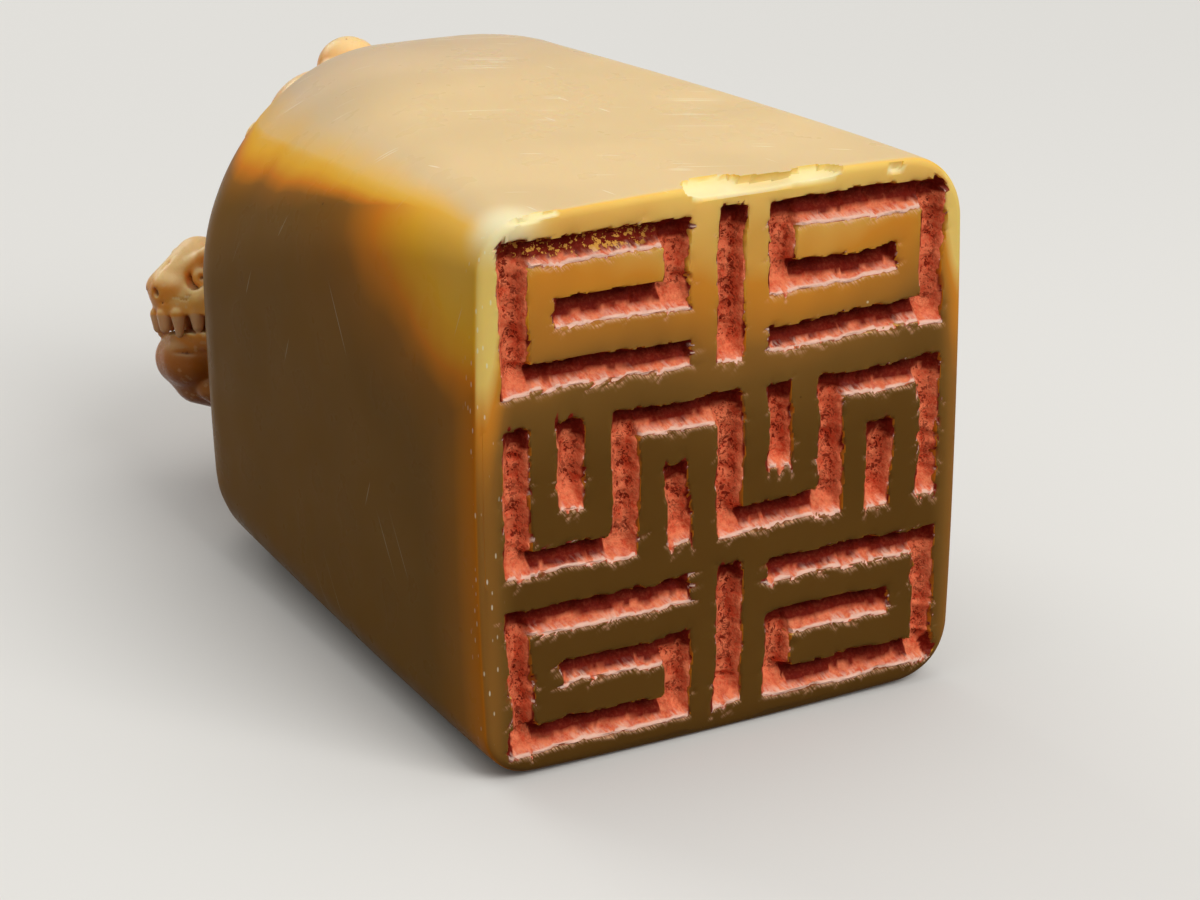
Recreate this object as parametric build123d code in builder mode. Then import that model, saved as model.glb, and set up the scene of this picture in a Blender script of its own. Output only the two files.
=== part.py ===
from build123d import *
import math
import os

# A hand-held seal stamp of carved soapstone, lying on one of its long sides.
# The engraved seal face looks along -Y, the carved beast that serves as the handle points along +Y,
# and +Z is up. The origin is on the resting plane, at the middle of the whole length and width.
# All sizes are millimetres.

os.makedirs("parts", exist_ok=True)

# Block: a squarish prism whose long edges grow rounder towards the knob
block_width = 29.2
block_height = 30.4
straight_length = 35.0
shoulder_length = 8.0
shoulder_inset_x = 8.1
shoulder_inset_z = 2.3
face_edge_radius = 0.6

# Radius of each long edge at the seal face and where the shoulders start
upper_left_radii = (2.5, 13.0)
upper_right_radii = (3.5, 8.5)
lower_right_radii = (3.5, 6.0)
lower_left_radii = (2.4, 5.0)
radius_growth = 1.5
radius_limit_share = 0.93

# Stations along the block: angles round the edge of the seal face, shares of the straight length,
# then angles over the shoulders
face_edge_angles = (0, 30, 60, 90)
straight_station_shares = (0.25, 0.5, 0.75, 1.0)
shoulder_angles = (12, 24, 36, 48, 60, 72, 82, 90)

# Engraved pattern: a squared fret on a lattice of 8 by 8 steps
lattice_steps = 8
face_margin = 1.5
stroke_width = 1.5
groove_depth = 1.3
paste_thickness = 0.35

# Each stroke is a run of lattice steps, counted from the lower left corner of the face
upper_band_steps = (
    ((3, 6), (0, 6), (0, 8), (3, 8), (3, 7), (1, 7)),
    ((4, 6), (4, 8)),
    ((5, 6), (8, 6), (8, 8), (5, 8), (5, 7), (7, 7)),
)
middle_band_steps = (
    ((0, 5), (0, 3), (2, 3), (2, 5), (4, 5), (4, 3), (6, 3), (6, 5), (8, 5), (8, 3)),
    ((1, 5), (1, 4)),
    ((3, 3), (3, 4)),
    ((5, 5), (5, 4)),
    ((7, 3), (7, 4)),
)
lower_band_steps = (
    ((3, 2), (0, 2), (0, 0), (3, 0), (3, 1), (1, 1)),
    ((4, 0), (4, 2)),
    ((5, 2), (8, 2), (8, 0), (5, 0), (5, 1), (7, 1)),
)

# Knob: a recumbent beast with its head turned over the left side of the block
knob_height = 10.5
knob_side_setback = 0.6
knob_end_setback = 1.4

# Rounded forms of the beast: the middle and the radius of one round end, then those of the other.
# Places are shares of the knob's half width, height and half length, measured from the middle of the
# block's far end, and radii are shares of the knob's mean size
beast_form_shares = {
    "barrel": ((0.09, 0.25, 0.54), 0.42, (0.06, 0.29, -0.40), 0.41),
    "left haunch": ((-0.19, 0.23, 0.61), 0.32, (-0.27, 0.19, 0.42), 0.30),
    "right haunch": ((0.41, 0.17, 0.59), 0.32, (0.49, 0.13, 0.39), 0.29),
    "left hind foot": ((-0.46, 0.02, 0.36), 0.17, (-0.53, -0.02, 0.12), 0.15),
    "right hind foot": ((0.60, -0.02, 0.36), 0.17, (0.66, -0.04, 0.04), 0.14),
    "tail": ((0.07, 0.38, 0.80), 0.21, (0.11, 0.70, 0.54), 0.17),
    "left foreleg": ((-0.23, 0.25, -0.51), 0.28, (-0.37, 0.10, -0.77), 0.17),
    "right foreleg": ((0.34, 0.23, -0.52), 0.28, (0.29, 0.08, -0.83), 0.17),
    "neck": ((0.00, 0.44, -0.38), 0.41, (-0.34, 0.50, -0.32), 0.39),
    "head": ((-0.51, 0.50, -0.27), 0.39, (-0.60, 0.51, -0.23), 0.36),
    "muzzle": ((-0.71, 0.53, -0.09), 0.22, (-0.84, 0.53, -0.15), 0.16),
    "jaw": ((-0.59, 0.48, -0.48), 0.25, (-0.82, 0.50, -0.43), 0.15),
    "left ear": ((-0.44, 0.31, 0.04), 0.12, (-0.45, 0.22, 0.11), 0.08),
    "right ear": ((-0.40, 1.00, -0.10), 0.11, (-0.30, 1.00, 0.03), 0.08),
}

# Places along the length that follow from the sizes above
block_length = straight_length + shoulder_length
overall_length = block_length + knob_height
seal_face_y = -overall_length / 2
block_end_y = seal_face_y + block_length
knob_half_width = block_width / 2 - knob_side_setback
knob_half_length = block_height / 2 - knob_end_setback
knob_mean_size = (knob_half_width * knob_height * knob_half_length) ** (1 / 3)


def edge_radius(radii, share, half_size):
    start, end = radii
    grown = start + (end - start) * share ** radius_growth
    return min(grown, half_size * radius_limit_share)


def block_outline(along, inset_x, inset_z):
    """Section of the block at a distance from the seal face: a rectangle with four different corners."""
    share = min(along / straight_length, 1)
    half_width = block_width / 2 - inset_x
    low = inset_z
    high = block_height - inset_z
    corners = ((-half_width, low), (half_width, low), (half_width, high), (-half_width, high))
    corner_radii = (lower_left_radii, lower_right_radii, upper_right_radii, upper_left_radii)
    with BuildSketch(Plane.XZ.offset(-(seal_face_y + along))) as outline:
        with BuildLine():
            FilletPolyline(
                *corners,
                radius=[edge_radius(radii, share, half_width) for radii in corner_radii],
                close=True,
            )
        make_face()
    return outline.sketch


def lattice_point(column, row):
    pitch_x = (block_width - 2 * face_margin - stroke_width) / lattice_steps
    pitch_z = (block_height - 2 * face_margin - stroke_width) / lattice_steps
    low_z = face_margin + stroke_width / 2
    return ((column - lattice_steps / 2) * pitch_x, low_z + row * pitch_z)


def stroke_outline(strokes, into_face):
    """Outline of the engraved strokes on a plane that lies a distance into the seal face."""
    with BuildSketch(Plane.XZ.offset(-(seal_face_y + into_face))) as outline:
        for stroke in strokes:
            corners = [lattice_point(*step) for step in stroke]
            for (x0, z0), (x1, z1) in zip(corners, corners[1:]):
                with Locations(((x0 + x1) / 2, (z0 + z1) / 2)):
                    Rectangle(abs(x1 - x0) + stroke_width, abs(z1 - z0) + stroke_width)
    return outline.sketch


def knob_point(shares, radius):
    """Middle of a ball of the beast. A ball that would stand above the knob's height touches it instead."""
    across, along, up = shares
    return Vector(
        across * knob_half_width,
        block_end_y + min(along * knob_height, knob_height - radius),
        block_height / 2 + up * knob_half_length,
    )


def rounded_form(start_shares, start_share, end_shares, end_share):
    """Cone with a ball at each end, tangent to both, made by turning its profile about its own axis."""
    start_radius = start_share * knob_mean_size
    end_radius = end_share * knob_mean_size
    start = knob_point(start_shares, start_radius)
    end = knob_point(end_shares, end_radius)
    along = end - start
    reach = along.length
    lean = math.degrees(math.asin((start_radius - end_radius) / reach))
    with BuildPart() as form:
        with BuildSketch(Plane(origin=start, x_dir=along, z_dir=along.cross(Vector(0, 1, 0)))):
            with BuildLine():
                start_ball = CenterArc((0, 0), start_radius, 90 - lean, 90 + lean)
                end_ball = CenterArc((reach, 0), end_radius, 0, 90 - lean)
                Line(start_ball @ 0, end_ball @ 1)
                Line(start_ball @ 1, end_ball @ 0)
            make_face()
        revolve(axis=Axis(start, along))
    return form.part


# Stone block with its rounded shoulders and the engraved seal face
stations = []
for angle in face_edge_angles:
    turned = math.radians(angle)
    edge_inset = face_edge_radius * (1 - math.sin(turned))
    stations.append((face_edge_radius * (1 - math.cos(turned)), edge_inset, edge_inset))
for share in straight_station_shares:
    stations.append((share * straight_length, 0, 0))
for angle in shoulder_angles:
    turned = math.radians(angle)
    inset_share = 1 - math.cos(turned)
    stations.append((
        straight_length + shoulder_length * math.sin(turned),
        shoulder_inset_x * inset_share,
        shoulder_inset_z * inset_share,
    ))

with BuildPart() as stone_block:
    loft(sections=[block_outline(*station) for station in stations], ruled=True)
    extrude(
        stroke_outline(upper_band_steps + middle_band_steps + lower_band_steps, 0),
        amount=-groove_depth,
        mode=Mode.SUBTRACT,
    )
stone_block.part.label = "stone_block"
export_step(stone_block.part, "parts/stone_block.step")

# Carved beast, cut to sit on the shoulders of the block
beast_forms = [rounded_form(*shares) for shares in beast_form_shares.values()]
with BuildPart() as beast_knob:
    add(beast_forms)
    add(stone_block.part, mode=Mode.SUBTRACT)
beast_knob.part.label = "beast_knob"
export_step(beast_knob.part, "parts/beast_knob.step")

# Dried paste on the floor of the grooves, one node for each band of the pattern
bands = {
    "upper_band_paste": upper_band_steps,
    "middle_band_paste": middle_band_steps,
    "lower_band_paste": lower_band_steps,
}
for name, strokes in bands.items():
    with BuildPart() as paste:
        extrude(stroke_outline(strokes, groove_depth), amount=paste_thickness)
    paste.part.label = name
    export_step(paste.part, f"parts/{name}.step")
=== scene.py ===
import bmesh
import bpy
import math
import numpy as np
from mathutils import Matrix, Vector


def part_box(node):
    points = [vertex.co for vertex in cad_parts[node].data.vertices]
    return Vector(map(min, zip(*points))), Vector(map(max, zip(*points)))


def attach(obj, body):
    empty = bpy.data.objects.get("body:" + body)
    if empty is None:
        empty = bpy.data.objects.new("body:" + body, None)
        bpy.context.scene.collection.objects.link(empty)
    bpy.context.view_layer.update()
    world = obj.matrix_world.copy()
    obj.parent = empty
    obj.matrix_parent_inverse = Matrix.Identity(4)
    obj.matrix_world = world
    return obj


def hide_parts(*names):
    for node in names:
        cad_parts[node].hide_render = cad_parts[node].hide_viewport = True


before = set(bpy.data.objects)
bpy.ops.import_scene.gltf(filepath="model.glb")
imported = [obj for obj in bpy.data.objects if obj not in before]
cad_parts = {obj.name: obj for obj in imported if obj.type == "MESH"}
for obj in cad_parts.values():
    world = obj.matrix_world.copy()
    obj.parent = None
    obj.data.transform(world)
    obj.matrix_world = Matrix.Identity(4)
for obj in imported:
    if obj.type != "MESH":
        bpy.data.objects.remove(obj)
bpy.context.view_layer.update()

# The stone block: one squared piece of honey-coloured soapstone, sawn, rubbed smooth and waxed.
# Its sides are slightly crowned, its long edges are rubbed rounder towards the knob, and its far end is
# dressed to rounded shoulders. The seal face at the near end is flat, and its upper edge has chipped.
mm = 0.001
block_low, block_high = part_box("stone_block")
face_y = block_low.y / mm
mid_z = (block_low.z + block_high.z) / 2 / mm
corner_half_width = 14.2
corner_half_height = 14.85
side_crown = 0.4
top_crown = 0.35
straight_length = 35.0
shoulder_length = 8.0
shoulder_inset_x = 8.1
shoulder_inset_z = 2.3
block_end_y = face_y + straight_length + shoulder_length
rim_radius = 0.45
upper_left_radii = (2.5, 13.0)
upper_right_radii = (3.5, 8.5)
lower_right_radii = (3.0, 6.0)
lower_left_radii = (2.4, 4.8)
radius_growth = 1.5
radius_limit_share = 0.93
smallest_radius = 0.3
crown_steepness = 6

# The pattern on the seal face: a squared fret on a lattice of eight by eight steps
stroke_half_width = 0.75
pitch_x = 3.0875
pitch_z = 3.2375
lowest_stroke_z = 2.25
fret_strokes = (
    ((3, 2), (0, 2), (0, 0), (3, 0), (3, 1), (1, 1)),
    ((4, 0), (4, 2)),
    ((5, 2), (8, 2), (8, 0), (5, 0), (5, 1), (7, 1)),
    ((0, 5), (0, 3), (2, 3), (2, 5), (4, 5), (4, 3), (6, 3), (6, 5), (8, 5), (8, 3)),
    ((1, 5), (1, 4)),
    ((3, 3), (3, 4)),
    ((5, 5), (5, 4)),
    ((7, 3), (7, 4)),
    ((3, 6), (0, 6), (0, 8), (3, 8), (3, 7), (1, 7)),
    ((4, 6), (4, 8)),
    ((5, 6), (8, 6), (8, 8), (5, 8), (5, 7), (7, 7)),
)


def lattice_place(column, row):
    return ((column - 4) * pitch_x, lowest_stroke_z + row * pitch_z)


def grain(places, size, seed, angular=False):
    """Random values from -1 to 1 over places in millimetres, in smooth or angular lumps of a given size."""
    table = np.random.default_rng(seed).uniform(-1, 1, 8192)
    scaled = places / size
    cell = np.floor(scaled).astype(np.int64)
    share = scaled - cell
    if not angular:
        share = share * share * (3 - 2 * share)
    total = np.zeros(len(places))
    for corner in range(8):
        step = np.array([corner & 1, corner >> 1 & 1, corner >> 2 & 1])
        weight = np.prod(np.where(step, share, 1 - share), axis=1)
        spot = (cell + step) * np.array([73856093, 19349663, 83492791])
        total += weight * table[(spot[:, 0] ^ spot[:, 1] ^ spot[:, 2]) % len(table)]
    return total


def ease(values, start, end):
    """0 before start, 1 after end, and a smooth rise between them."""
    share = np.clip((values - start) / (end - start), 0, 1)
    return share * share * (3 - 2 * share)


def grid_lines(lowest, highest, stroke_places):
    """Lines across the seal face, close together where a stroke's wall runs and wider elsewhere."""
    close_step = 0.085
    wide_step = 0.2
    wall_reach = 0.36
    walls = [place + side * stroke_half_width for place in stroke_places for side in (-1, 1)]
    lines = [lowest]
    while lines[-1] < highest - 0.15:
        near = min(abs(lines[-1] + 0.05 - wall) for wall in walls)
        lines.append(lines[-1] + (close_step if near < wall_reach else wide_step))
    lines[-1] = highest
    return np.array(lines)


def block_section(across, up, along, inset_x, inset_z):
    """Places on the block's section at a distance from the seal face. across and up run from -1 to 1 over
    a sharp rectangle, and the corners of that rectangle are drawn in to the round ones."""
    half_x = corner_half_width - inset_x
    half_z = corner_half_height - inset_z
    x = across * half_x
    z = up * half_z
    growth = min(max(along, 0) / straight_length, 1) ** radius_growth
    for side_x, side_z, radii in (
        (-1, 1, upper_left_radii),
        (1, 1, upper_right_radii),
        (1, -1, lower_right_radii),
        (-1, -1, lower_left_radii),
    ):
        radius = min(radii[0] + (radii[1] - radii[0]) * growth, radius_limit_share * min(half_x, half_z))
        radius = max(radius - inset_x * (along <= rim_radius), smallest_radius)
        u = side_x * x - (half_x - radius)
        v = side_z * z - (half_z - radius)
        corner = (u > 1e-9) & (v > 1e-9)
        reach = np.where(corner, np.maximum(u, v), 1)
        smaller = np.where(corner, np.minimum(u, v), 0)
        angle = math.pi / 4 * smaller / reach
        angle = np.where(u >= v, angle, math.pi / 2 - angle)
        x = np.where(corner, side_x * (half_x - radius + reach * np.cos(angle)), x)
        z = np.where(corner, side_z * (half_z - radius + reach * np.sin(angle)), z)
    swell_x = side_crown / corner_half_width * (1 - (z / half_z) ** 2) * np.abs(across) ** crown_steepness
    swell_z = top_crown / corner_half_height * (1 - (x / half_x) ** 2) * np.abs(up) ** crown_steepness
    return x * (1 + swell_x), z * (1 + swell_z)


face_half_x = corner_half_width - rim_radius
face_half_z = corner_half_height - rim_radius
lines_x = grid_lines(-face_half_x, face_half_x, [lattice_place(i, 0)[0] for i in range(9)])
lines_z = grid_lines(-face_half_z, face_half_z, [lattice_place(0, i)[1] - mid_z for i in range(9)])
columns, rows = len(lines_x), len(lines_z)
face_across, face_up = np.meshgrid(lines_x / face_half_x, lines_z / face_half_z)
face_x, face_z = block_section(face_across, face_up, 0, rim_radius, rim_radius)
face_places = np.stack([face_x.ravel(), np.zeros(face_x.size), face_z.ravel() + mid_z], axis=1)

# The strokes are cut by hand with a flat chisel: no stroke is quite straight or of one width, the edges
# splinter, and the ends overrun and split. A cut has two ends, and a half width at each of them
chisel = np.random.default_rng(31)
split_tip = 0.01
splinter_gap = 0.8
cuts = []


def course(start, end):
    """The length of a straight run, its direction, and the direction to its left."""
    run = end - start
    length = np.linalg.norm(run)
    way = run / length
    return length, way, np.array([-way[1], way[0]])


for stroke in fret_strokes:
    corners = [np.array(lattice_place(*step)) for step in stroke]
    for start, end in zip(corners, corners[1:]):
        length, way, side = course(start, end)
        drift = side * chisel.uniform(-0.1, 0.1, 2)[:, None]
        half = stroke_half_width + chisel.uniform(-0.12, 0.08)
        cuts.append((start + drift[0], end + drift[1], half, half))
    for tip, inner in ((corners[0], corners[1]), (corners[-1], corners[-2])):
        length, way, side = course(inner, tip)
        for offset in (-0.55, 0.0, 0.55):
            root = tip + way * 0.35 + side * (offset + chisel.uniform(-0.12, 0.12))
            point = root + way * chisel.uniform(0.55, 1.05) + side * chisel.uniform(-0.3, 0.3)
            cuts.append((root, point, chisel.uniform(0.16, 0.3), split_tip))
    for start, end in zip(corners, corners[1:]):
        length, way, side = course(start, end)
        for edge in (-1, 1):
            for _ in range(int(length / splinter_gap)):
                root = start + way * chisel.uniform(0, length) + side * edge * (stroke_half_width - 0.12)
                point = root + way * chisel.uniform(0.25, 0.8) + side * edge * chisel.uniform(0.12, 0.36)
                cuts.append((root, point, chisel.uniform(0.08, 0.15), split_tip))
        turn = end + way * chisel.uniform(0.9, 1.25) + side * chisel.uniform(-0.7, 0.7)
        cuts.append((end, turn, 0.3, split_tip))


def depth_inside(x, z):
    """How far a place on the seal face lies inside the engraved strokes; negative outside them."""
    inside = np.full(x.shape, -9.0)
    for start, end, start_half, end_half in cuts:
        length, way, side = course(start, end)
        gone = (x - start[0]) * way[0] + (z - start[1]) * way[1]
        off = np.abs((x - start[0]) * side[0] + (z - start[1]) * side[1])
        if start_half == end_half:
            here = np.minimum(start_half - off, start_half + np.minimum(gone, length - gone))
        else:
            share = np.clip(gone / length, 0, 1)
            here = start_half + (end_half - start_half) * share - off
            beyond = (gone < 0) | (gone > length)
            here = np.where(beyond, np.minimum(here, -np.abs(gone - share * length)), here)
        inside = np.maximum(inside, here)
    return inside


def waver(first_seed):
    """How far the hand strays from the drawn stroke, in wobbles of three sizes."""
    strayed = 0
    for i, (reach, size) in enumerate(((0.13, 2.4), (0.09, 0.8), (0.06, 0.3))):
        strayed = strayed + reach * grain(face_places, size, first_seed + i, True)
    return strayed


inside = depth_inside(face_places[:, 0] + waver(1), face_places[:, 2] + waver(4))


def run_in(values, gaps):
    """How far each place lies past the lip where the line over the face that it is on enters a stroke."""
    far = np.zeros(values.shape)
    for i in range(1, len(values)):
        carried = np.where(values[i - 1] > 0, far[i - 1] + gaps[i - 1], np.minimum(values[i], gaps[i - 1]))
        far[i] = np.where(values[i] > 0, carried, 0)
    return far


stroke_grid = inside.reshape(rows, columns)
row_gaps = np.diff(lines_z)
column_gaps = np.diff(lines_x)
from_below = run_in(stroke_grid, row_gaps).ravel()
from_above = run_in(stroke_grid[::-1], row_gaps[::-1])[::-1].ravel()
from_west = run_in(stroke_grid.T, column_gaps).T.ravel()
from_east = run_in(stroke_grid.T[::-1], column_gaps[::-1])[::-1].T.ravel()

# The chisel leaves a long slope up to the lower lip and a steep wall under the upper one
slope_run = 1.05
upper_wall_run = 0.24
west_wall_run = 0.5
east_wall_run = 0.45
mean_depth = 1.15
pit_depth = 0.26
groove_depth = mean_depth + 0.14 * grain(face_places, 1.7, 7)
slope = np.clip(from_below / (slope_run + 0.15 * grain(face_places, 1.2, 11)), 0, 1)
wall = np.clip(from_above / upper_wall_run, 0, 1)
sides = np.clip(np.minimum(from_west / west_wall_run, from_east / east_wall_run), 0, 1)
cut_share = np.minimum(np.minimum(slope, wall), sides)
grid = cut_share.reshape(rows, columns).copy()
for _ in range(2):
    grid[1:-1, 1:-1] = (
        2 * grid[1:-1, 1:-1] + grid[:-2, 1:-1] + grid[2:, 1:-1] + grid[1:-1, :-2] + grid[1:-1, 2:]
    ) / 6
cut_share = np.where(inside > 0, grid.ravel(), 0)
sunk = groove_depth * cut_share
on_slope = (slope < wall) & (slope <= sides)
ragged = 0.1 * grain(face_places, 0.6, 12, True) + 0.05 * grain(face_places, 0.2, 13, True)
# Marks for painted shadow in the paste: under_lip is the shade under each upper lip, and the deep share of
# the floor mark is the shade deep in the groove. The speckles in the floor mark are the paste's own dark
# pits
under_lip = ease(from_above + ragged, 1.12, 0.94)
floor_share = ease(cut_share, 0.25, 0.8)
pits = np.maximum(grain(face_places, 0.42, 8), 0) + 0.6 * np.maximum(grain(face_places, 0.2, 9), 0)
sunk += np.maximum(floor_share * (pit_depth * pits - 0.08), -0.5 * sunk)
speckled = ease(pits, 0.06, 0.42)
deep = ease(from_below, 1.0, 1.4)
pits_and_groove_shadow = floor_share * (0.3 + 0.7 * deep) * (0.7 + 0.3 * speckled)
lip_wear = np.exp(-np.maximum(-inside, 0) / 0.16) * (inside <= 0)
sunk += lip_wear * np.maximum(0.1 * grain(face_places, 0.7, 10) + 0.02, 0)

# The edge of the face is worn round at the left, lower and right sides, and stays crisp at the top
from_left = face_places[:, 0] + corner_half_width
from_right = corner_half_width - face_places[:, 0]
from_low = face_places[:, 2] - mid_z + corner_half_height
edge_wear = (
    0.30 * np.exp(-from_left / 0.7)
    + 0.22 * np.exp(-from_right / 0.6)
    + 0.30 * np.exp(-from_low / 0.7)
)
face_places[:, 1] = face_y + sunk + edge_wear
below_stroke = ease(np.gradient(stroke_grid, axis=0) / np.gradient(lines_z)[:, None], 0.2, 0.8).ravel()
scrape = np.exp(-(((inside + 0.01) / 0.11) ** 2)) * below_stroke

# Rings of places run from the rim of the face along the block and over the shoulders
numbers = np.arange(columns * rows).reshape(rows, columns)
ring_order = np.concatenate([numbers[0, :-1], numbers[:-1, -1], numbers[-1, :0:-1], numbers[:0:-1, 0]])
ring_across = face_across.ravel()[ring_order]
ring_up = face_up.ravel()[ring_order]
stations = []
for angle in (20, 40, 60, 75, 90):
    turned = math.radians(angle)
    inset = rim_radius * (1 - math.sin(turned))
    stations.append((rim_radius * (1 - math.cos(turned)), inset, inset))
stations += [(along, 0, 0) for along in np.arange(rim_radius + 0.2, 2.6, 0.22)]
stations += [(along, 0, 0) for along in np.geomspace(3.0, straight_length, 17)]
for angle in (7, 14, 21, 28, 35, 42, 49, 56, 63, 70, 77, 83, 87, 90):
    turned = math.radians(angle)
    drawn_in = 1 - math.cos(turned)
    along = straight_length + shoulder_length * math.sin(turned)
    stations.append((along, shoulder_inset_x * drawn_in, shoulder_inset_z * drawn_in))
places = [face_places]
rim_wear = edge_wear[ring_order]
rim_wear_run = 0.8
for along, inset_x, inset_z in stations:
    x, z = block_section(ring_across, ring_up, along, inset_x, inset_z)
    drawn = rim_wear * math.exp(-along / rim_wear_run)
    closer = 1 - 0.6 * drawn / np.hypot(x, z)
    places.append(np.stack([x * closer, face_y + along + drawn, z * closer + mid_z], axis=1))
last_x, last_z = block_section(ring_across, ring_up, stations[-1][0], shoulder_inset_x, shoulder_inset_z)
end_ring_shares = (0.9, 0.65, 0.35, 0.1)
for share in end_ring_shares:
    end = np.full(len(last_x), block_end_y)
    places.append(np.stack([last_x * share, end, last_z * share + mid_z], axis=1))
places.append(np.array([[0, block_end_y, mid_z]]))
block_places = np.concatenate(places)

# Chips: flakes broken from the upper rim of the face. Each is a scoop, given by its middle and its radii
chip_lean = np.array([0, 0.7, -0.7])
chip_roughness = 0.08
chips = (
    ((1.0, face_y - 0.05, 30.05), (3.6, 1.05, 0.42)),
    ((-0.9, face_y + 0.35, 30.2), (1.9, 1.25, 0.5)),
    ((4.9, face_y + 0.2, 30.1), (1.8, 0.7, 0.36)),
    ((-12.4, face_y + 0.05, 29.95), (1.9, 0.26, 0.17)),
    ((-10.8, face_y + 0.1, 30.1), (1.1, 0.3, 0.15)),
    ((9.9, face_y - 0.1, 29.75), (0.5, 0.42, 0.32)),
)
chipped = np.zeros(len(block_places))
for middle, radii in chips:
    offset = (block_places - middle) / radii
    offset = offset * (1 + chip_roughness * grain(block_places, 0.9, 77))[:, None]
    step = chip_lean / radii
    square = step @ step
    linear = offset @ step
    rest = np.sum(offset * offset, axis=1) - 1
    held = rest < 0
    root = np.where(held, (-linear + np.sqrt(np.maximum(linear**2 - square * rest, 0))) / square, 0)
    block_places += root[:, None] * chip_lean
    chipped = np.maximum(chipped, ease(root, 0.01, 0.08))

# Faces: the cells of the seal face, then a band between each ring and the next, and a fan at the far end
cell_corners = [numbers[:-1, :-1], numbers[:-1, 1:], numbers[1:, 1:], numbers[1:, :-1]]
face_quads = np.stack(cell_corners, axis=-1).reshape(-1, 4)
ring = ring_order
next_number = columns * rows
block_faces = face_quads.tolist()
for _ in range(len(stations) + len(end_ring_shares)):
    following = np.arange(next_number, next_number + len(ring_order))
    block_faces += np.stack([following, np.roll(following, -1), np.roll(ring, -1), ring], axis=1).tolist()
    ring = following
    next_number += len(ring_order)
block_faces += [(int(b), int(a), next_number) for a, b in zip(ring, np.roll(ring, -1))]


def add_object(name, data):
    added = bpy.data.objects.new(name, data)
    bpy.context.scene.collection.objects.link(added)
    return added


def make_piece(name, places_mm, faces, sharp_angle=None, **marks):
    """A mesh object from places in millimetres, smooth but for edges past the sharp angle in degrees, where
    one is given. Each mark gives its vertices a number."""
    mesh = bpy.data.meshes.new(name)
    mesh.from_pydata((places_mm * mm).tolist(), [], faces)
    shell = bmesh.new()
    shell.from_mesh(mesh)
    bmesh.ops.recalc_face_normals(shell, faces=shell.faces)
    shell.to_mesh(mesh)
    shell.free()
    mesh.shade_smooth()
    if sharp_angle:
        mesh.set_sharp_from_angle(angle=math.radians(sharp_angle))
    for mark, values in marks.items():
        attribute = mesh.attributes.new(mark, "FLOAT", "POINT")
        attribute.data.foreach_set("value", np.asarray(values, np.float32))
    return add_object(name, mesh)


# The scraped and grooved marks are known on the face only, and there is nothing of them past it
past_face = (0, len(block_places) - len(face_places))
block = make_piece(
    "soapstone_block",
    block_places,
    block_faces,
    sharp_angle=38,
    chip=chipped,
    scrape=np.pad(scrape, past_face),
    groove=np.pad(ease(inside, -0.02, 0.1), past_face),
)


def shade(red, green, blue):
    """A colour as it shows on a screen, from 0 to 255, as the light that it stands for."""
    light = [((c / 255 + 0.055) / 1.055) ** 2.4 if c > 10 else c / 3294.6 for c in (red, green, blue)]
    return (*light, 1.0)


def set_inputs(node, inputs):
    """Sets the inputs of a node to values, or joins them to other nodes' outputs."""
    for name, value in inputs.items():
        socket = node.inputs[name]
        if isinstance(value, bpy.types.NodeSocket):
            node.id_data.links.new(value, socket)
        else:
            socket.default_value = value


def add_node(tree, kind, inputs=None, **settings):
    made = tree.nodes.new("ShaderNode" + kind)
    for name, value in settings.items():
        setattr(made, name, value)
    set_inputs(made, inputs or {})
    return made


def wire(kind, inputs, **settings):
    """A new node in the finish that the outputs joined to it belong to."""
    tree = next(value.id_data for value in inputs.values() if isinstance(value, bpy.types.NodeSocket))
    return add_node(tree, kind, inputs, **settings)


def reckon(operation, first, second=0.0):
    """A sum, product or other reckoning with two numbers."""
    return wire("Math", {0: first, 1: second}, operation=operation).outputs[0]


def reckon_places(operation, *inputs):
    """A reckoning with places or directions. It gives the node's outputs: 0 is a place, Value a number."""
    return wire("VectorMath", dict(enumerate(inputs)), operation=operation).outputs


def rise(value, start, end, low=0.0, high=1.0):
    """A smooth rise from low to high as the value goes from start to end."""
    inputs = {"Value": value, "From Min": start, "From Max": end, "To Min": low, "To Max": high}
    return wire("MapRange", inputs, interpolation_type="SMOOTHSTEP").outputs["Result"]


def blend(share, first, second, blend_type="MIX"):
    """Goes from the first colour to the second as the share goes from 0 to 1."""
    inputs = {0: share, 6: first, 7: second}
    return wire("Mix", inputs, data_type="RGBA", blend_type=blend_type).outputs[2]


def paint(colour, share, strength, coat):
    """A colour with a coat of another one over it, as dense as share times strength."""
    return blend(reckon("MULTIPLY", share, strength), colour, coat)


def cloud(where, scale, detail=3.0, roughness=0.5):
    """Soft random clouds; the scale is in lumps per millimetre."""
    inputs = {"Vector": where, "Scale": scale, "Detail": detail, "Roughness": roughness}
    return wire("TexNoise", inputs).outputs["Fac"]


def specks(where, scale, size, kept, dimensions="3D"):
    """Small round specks, of which only a share is kept."""
    inputs = {"Vector": where, "Scale": scale}
    dots = wire("TexVoronoi", inputs, voronoi_dimensions=dimensions)
    near = rise(dots.outputs["Distance"], size, size * 0.55)
    chosen = wire("SeparateColor", {"Color": dots.outputs["Color"]}).outputs[0]
    return reckon("MULTIPLY", near, reckon("GREATER_THAN", chosen, 1 - kept))


def scratches(first, second, kinds):
    """Straight scratches over a side, laid on two of its directions. Each kind has its own slant in degrees,
    length and width in millimetres, and share that is kept."""
    flat = wire("CombineXYZ", {0: first, 1: second}).outputs[0]
    all_kinds = 0.0
    for slant, length, width, kept in kinds:
        inputs = {"Vector": flat, "Angle": math.radians(slant)}
        along = wire("VectorRotate", inputs, rotation_type="Z_AXIS").outputs[0]
        drawn = reckon_places("MULTIPLY", along, (0.4 / length, 0.4 / width, 1))[0]
        all_kinds = reckon("MAXIMUM", all_kinds, specks(drawn, 1.0, 0.2, kept, "2D"))
    return all_kinds


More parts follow.
